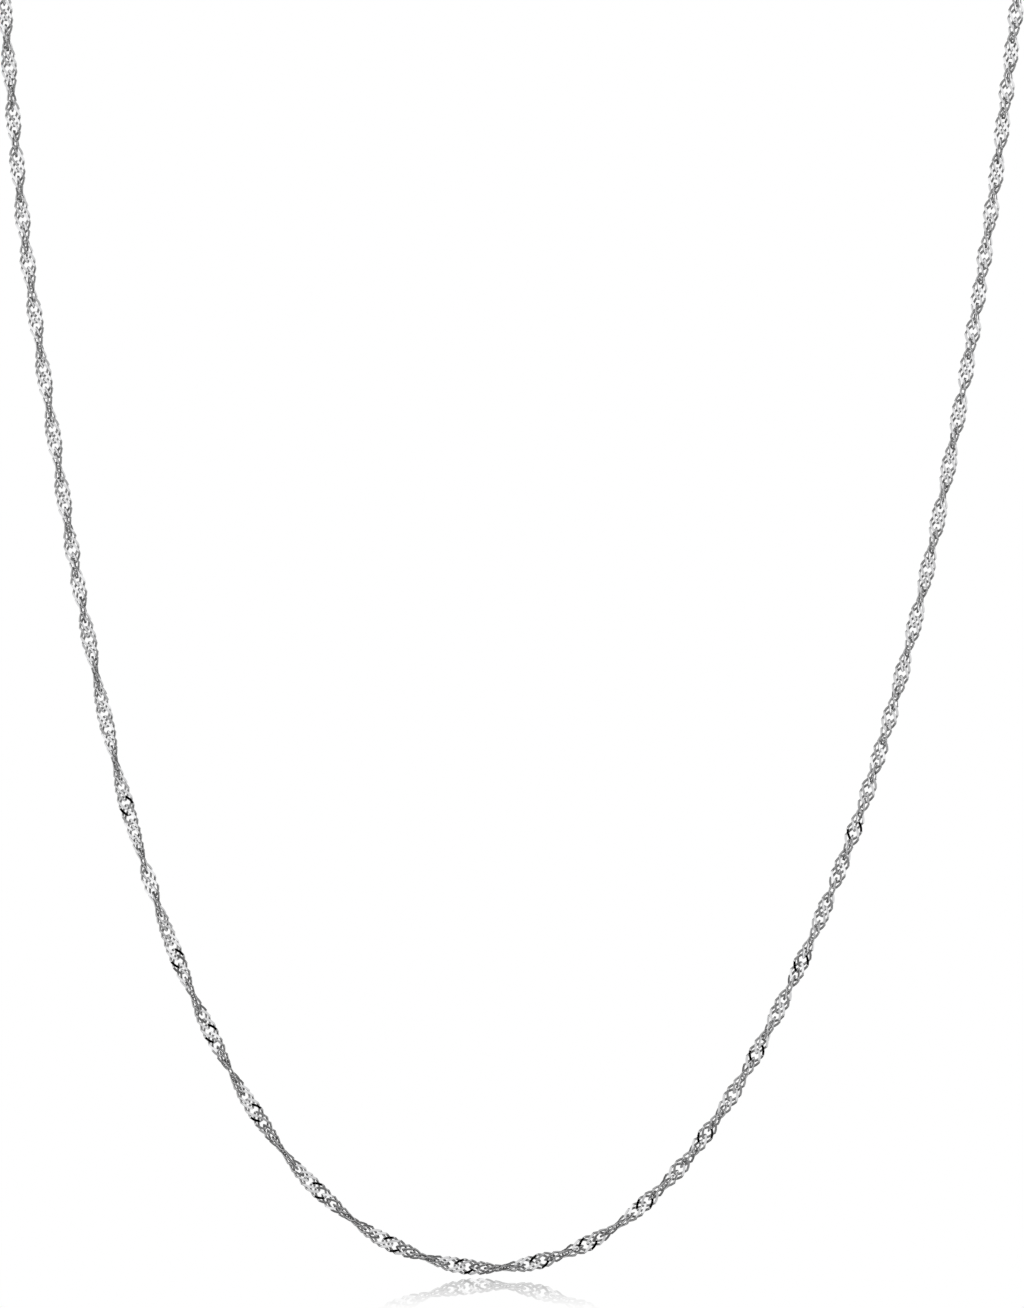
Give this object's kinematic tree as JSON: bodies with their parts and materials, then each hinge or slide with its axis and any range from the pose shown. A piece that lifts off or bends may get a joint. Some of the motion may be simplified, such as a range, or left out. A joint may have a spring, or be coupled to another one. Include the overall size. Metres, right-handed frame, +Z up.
{
  "type": "singapore chain necklace",
  "caption": "Fine twisted curb chain of interlocked polished links, closed as an 18 inch loop by a spring ring clasp with soldered end rings.",
  "frame": {"origin": "top of the loop on the chain's centre line, at the clasp, where the necklace lies over the back of a neck", "axes": "+Z up as the necklace hangs, the loop flat in the XZ plane, front toward -Y, +X to the right of a viewer in front"},
  "size_m": [0.0984, 0.0028, 0.1874],
  "materials": {
    "chain_links": "polished sterling silver with diamond-cut flats",
    "fastening": "polished sterling silver"
  },
  "bodies": {
    "root": {"chain": "chain_links", "end_ring_left": "fastening", "clasp": "fastening", "end_ring_right": "fastening"}
  },
  "joints": []
}
